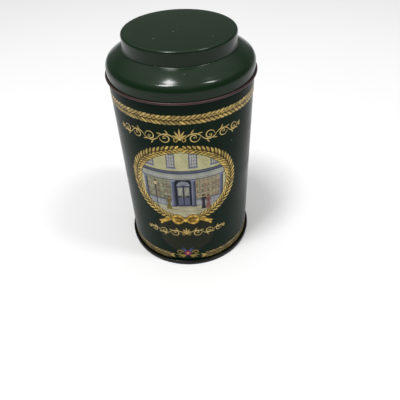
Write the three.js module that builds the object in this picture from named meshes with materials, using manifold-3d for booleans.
// A round tinplate tea caddy: a lock-seamed and double-seamed body, a press-in inner lid and a
// stepped slip lid. Millimetres, +Z up, the base stands on z = 0, and the printed front faces -Y.
import * as THREE from 'three';
import { mergeVertices } from 'three/addons/utils/BufferGeometryUtils.js';
import Module from 'manifold-3d';

// ---- driving dimensions ----
const BODY_R = 42.5;          // outside of the body wall
const SHEET = 0.3;            // tinplate
const RIM_Z = 127.5;          // centre height of the curl on the lid's lower edge
const AROUND = 64;            // facets round the tin; every turned piece uses the same count

// ---- body wall ----
const HEM_TOP = 132.9;        // height of the body's hemmed mouth
const HEM_DEPTH = 3.0;        // how far the hem is folded down inside
const HEM_R = BODY_R - 2 * SHEET;
const INNER_R = BODY_R - SHEET;

// ---- double seam at the bottom ----
const SEAM_GAP = 0.35;        // clearance between the folded layers
const LAYER = SHEET + SEAM_GAP;
const SEAM_R = BODY_R + 3 * LAYER;
const SEAM_H = 3.2;
const HOOK_FOOT = LAYER;      // height of the body hook's lower fold
const PANEL_Z = 3.4;          // upper face of the countersunk bottom panel
const PANEL_STEP_R = 34;      // stiffening step in that panel
const PANEL_STEP = 0.8;

// ---- lock seam down the back ----
const LOCK_W = 4.0;
const LOCK_T = 3 * SHEET;
const LOCK_CLEAR = 9.0;       // the folds are notched away near both ends of the wall

// ---- slip lid ----
const SLIP = 0.12;            // running clearance of the skirt over the body
const SKIRT_R = BODY_R + SLIP + SHEET;
const CURL_R = 0.7;           // outside radius of the curled edge
const CURL_END = Math.PI * 2.55;   // the curl stops just short of the skirt
const SHOULDER_R = 5.55;      // outside radius of the bend above the skirt
const SHOULDER_Z = RIM_Z + 4.55;
const SLOPE = THREE.MathUtils.degToRad(31);
const DRUM_R = 32.1;
const DRUM_EDGE_R = 1.3;      // rounded edge of the flat top
const DRUM_FOOT_R = 0.8;      // hollow fillet at the foot of the drum
const TOP_Z = 149.7;

// ---- press-in inner lid ----
const PLUG_R = HEM_R - 0.2;
const FLANGE_R = BODY_R - 0.25;
const FLANGE_Z = HEM_TOP + 0.15;
const PLUG_DEPTH = 7.0;
const PLUG_BEND = 1.2;
const DISH_R = 26;            // shallow raised disc in the middle of the inner lid
const DISH_RISE = 0.9;

const HALF_TURN = Math.PI;
const QUARTER = Math.PI / 2;

// Points of an arc about (r, z), from one angle to another, in equal steps.
function arc(r, z, radius, from, to, steps) {
  const points = [];
  for (let i = 0; i <= steps; i += 1) {
    const a = from + ((to - from) * i) / steps;
    points.push([r + radius * Math.cos(a), z + radius * Math.sin(a)]);
  }
  return points;
}

// The closed section of a bent sheet: its path, offset by half the sheet to both sides.
function sheetSection(path, thickness = SHEET) {
  const left = [];
  const right = [];
  path.forEach(([r, z], i) => {
    const [r0, z0] = path[Math.max(i - 1, 0)];
    const [r1, z1] = path[Math.min(i + 1, path.length - 1)];
    const before = new THREE.Vector2(r - r0, z - z0).normalize();
    const after = new THREE.Vector2(r1 - r, z1 - z).normalize();
    const along = before.clone().add(after).normalize();
    const bend = i > 0 && i < path.length - 1 ? along.dot(after) : 1;
    const half = thickness / 2 / bend;
    left.push([Math.max(r - along.y * half, 0), z + along.x * half]);
    right.push([Math.max(r + along.y * half, 0), z - along.x * half]);
  });
  return [...right, ...left.reverse()];
}

// Turns a section about +Z. A section that starts and ends on the axis makes a disc-like piece,
// and any other is closed on itself.
function turned(section) {
  const onAxis = section[0][0] === 0 && section[section.length - 1][0] === 0;
  const loop = onAxis ? section : [...section, section[0]];
  const geometry = new THREE.LatheGeometry(loop.map(([r, z]) => new THREE.Vector2(r, z)), AROUND);
  return geometry.rotateX(QUARTER);
}

// Vertices shared and degenerate triangles dropped, facing outwards.
function closed(geometry) {
  geometry.deleteAttribute('normal');
  geometry.deleteAttribute('uv');
  const merged = mergeVertices(geometry, 1e-4);
  const index = merged.getIndex().array;
  const kept = [];
  for (let i = 0; i < index.length; i += 3) {
    const [a, b, c] = [index[i], index[i + 1], index[i + 2]];
    if (a !== b && b !== c && c !== a) kept.push(a, b, c);
  }
  merged.setIndex(kept);
  if (signedVolume(merged) < 0) {
    for (let i = 0; i < kept.length; i += 3) [kept[i + 1], kept[i + 2]] = [kept[i + 2], kept[i + 1]];
    merged.setIndex(kept);
  }
  merged.computeVertexNormals();
  return merged;
}

function signedVolume(geometry) {
  const position = geometry.getAttribute('position');
  const index = geometry.getIndex().array;
  const [a, b, c] = [new THREE.Vector3(), new THREE.Vector3(), new THREE.Vector3()];
  let volume = 0;
  for (let i = 0; i < index.length; i += 3) {
    a.fromBufferAttribute(position, index[i]);
    b.fromBufferAttribute(position, index[i + 1]);
    c.fromBufferAttribute(position, index[i + 2]);
    volume += a.dot(b.cross(c)) / 6;
  }
  return volume;
}

const wasm = await Module();
wasm.setup();

function solid(geometry) {
  const shape = closed(geometry);
  const vertProperties = Float32Array.from(shape.getAttribute('position').array);
  const triVerts = Uint32Array.from(shape.getIndex().array);
  return new wasm.Manifold(new wasm.Mesh({ numProp: 3, vertProperties, triVerts }));
}

function fromSolid(manifold) {
  const { vertProperties, triVerts } = manifold.getMesh();
  const geometry = new THREE.BufferGeometry();
  geometry.setAttribute('position', new THREE.BufferAttribute(Float32Array.from(vertProperties), 3));
  geometry.setIndex(new THREE.BufferAttribute(Uint32Array.from(triVerts), 1));
  geometry.computeVertexNormals();
  return geometry;
}

// The wall with its folded hem at the mouth and its hook in the double seam, and the flattened
// folds of the lock seam standing inside it at the back.
function bodyWall() {
  const hookR = BODY_R + 2 * LAYER;
  const section = [
    [HEM_R, HEM_TOP - HEM_DEPTH],
    [INNER_R, HEM_TOP - HEM_DEPTH - SHEET],
    [INNER_R, HOOK_FOOT],
    [hookR, HOOK_FOOT],
    [hookR, SEAM_H - LAYER],
    [hookR - SHEET, SEAM_H - LAYER],
    [hookR - SHEET, HOOK_FOOT + SHEET],
    [BODY_R, HOOK_FOOT + SHEET],
    ...arc(BODY_R - SHEET, HEM_TOP - SHEET, SHEET, 0, HALF_TURN, 6),
  ];
  const lockBottom = PANEL_Z + LOCK_CLEAR;
  const lockTop = HEM_TOP - HEM_DEPTH - LOCK_CLEAR;
  const fold = new THREE.BoxGeometry(LOCK_W, LOCK_T, lockTop - lockBottom);
  fold.translate(0, BODY_R - LOCK_T / 2 - SHEET / 2, (lockTop + lockBottom) / 2);
  return fromSolid(solid(turned(section)).add(solid(fold)));
}

// The countersunk bottom: panel, chuck wall down inside the body, flat foot, seaming wall up
// outside the body hook, and the end hook back down between hook and wall.
function baseEnd() {
  const chuckR = INNER_R - SEAM_GAP;
  const wallR = SEAM_R - SHEET;
  const hookR = BODY_R + LAYER;
  const section = [
    [0, PANEL_Z + PANEL_STEP - SHEET],
    [PANEL_STEP_R - PANEL_STEP, PANEL_Z + PANEL_STEP - SHEET],
    [PANEL_STEP_R, PANEL_Z - SHEET],
    [chuckR - SHEET, PANEL_Z - SHEET],
    [chuckR - SHEET, SHEET],
    ...arc(chuckR, SHEET, SHEET, HALF_TURN, HALF_TURN + QUARTER, 2),
    ...arc(SEAM_R - 2 * SHEET, 2 * SHEET, 2 * SHEET, -QUARTER, 0, 3),
    ...arc(SEAM_R - 2 * SHEET, SEAM_H - 2 * SHEET, 2 * SHEET, 0, QUARTER, 3),
    [hookR - SHEET, SEAM_H],
    [hookR - SHEET, HOOK_FOOT + LAYER],
    [hookR, HOOK_FOOT + LAYER],
    [hookR, SEAM_H - SHEET],
    [wallR, SEAM_H - SHEET],
    [wallR, SHEET],
    [chuckR, SHEET],
    [chuckR, PANEL_Z],
    [PANEL_STEP_R, PANEL_Z],
    [PANEL_STEP_R - PANEL_STEP, PANEL_Z + PANEL_STEP],
    [0, PANEL_Z + PANEL_STEP],
  ];
  return closed(turned(section));
}

// The stepped lid, bent from one sheet from the middle of its top to the end of its curl.
function lidShell() {
  const half = SHEET / 2;
  const bendR = SKIRT_R - SHOULDER_R;
  const tangentR = bendR + SHOULDER_R * Math.sin(SLOPE);
  const tangentZ = SHOULDER_Z + SHOULDER_R * Math.cos(SLOPE);
  const footZ = tangentZ + (tangentR - DRUM_R - half) * Math.tan(SLOPE);
  const curlMid = CURL_R - half;
  const curlCentre = SKIRT_R - half + curlMid;
  const path = [
    [0, TOP_Z - half],
    ...arc(DRUM_R - DRUM_EDGE_R, TOP_Z - DRUM_EDGE_R, DRUM_EDGE_R - half, QUARTER, 0, 4),
    [DRUM_R - half, footZ + DRUM_FOOT_R],
    [DRUM_R + DRUM_FOOT_R * 0.25, footZ + DRUM_FOOT_R * 0.15],
    [DRUM_R + DRUM_FOOT_R, footZ - half - DRUM_FOOT_R * Math.tan(SLOPE)],
    ...arc(bendR, SHOULDER_Z, SHOULDER_R - half, QUARTER - SLOPE, 0, 4),
    ...arc(curlCentre, RIM_Z, curlMid, HALF_TURN, CURL_END, 10),
  ];
  return closed(turned(sheetSection(path)));
}

// The plug lid: flange over the hem, plug wall down into the mouth, recessed panel with a
// shallow raised disc.
function innerLid() {
  const half = SHEET / 2;
  const panelZ = FLANGE_Z + half - PLUG_DEPTH;
  const wallR = PLUG_R - half;
  const path = [
    [0, panelZ + DISH_RISE],
    [DISH_R - DISH_RISE, panelZ + DISH_RISE],
    [DISH_R, panelZ],
    ...arc(wallR - PLUG_BEND, panelZ + PLUG_BEND, PLUG_BEND, -QUARTER, 0, 3),
    [wallR, FLANGE_Z - half],
    [wallR + SHEET, FLANGE_Z + half],
    [FLANGE_R, FLANGE_Z + half],
  ];
  return closed(turned(sheetSection(path)));
}

function piece(name, geometry, color, roughness, metalness) {
  const mesh = new THREE.Mesh(geometry, new THREE.MeshStandardMaterial({ color, roughness, metalness }));
  mesh.name = name;
  return mesh;
}

const body = new THREE.Group();
body.add(piece('body_wall', bodyWall(), 0x10201a, 0.35, 0.1));
body.add(piece('base_end', baseEnd(), 0x0a0a0a, 0.3, 0.2));

const caddy = new THREE.Group();
caddy.add(body);
caddy.add(piece('inner_lid', innerLid(), 0xb9b7ae, 0.35, 0.9));
caddy.add(piece('lid_shell', lidShell(), 0x1f3a26, 0.25, 0.1));

export default caddy;
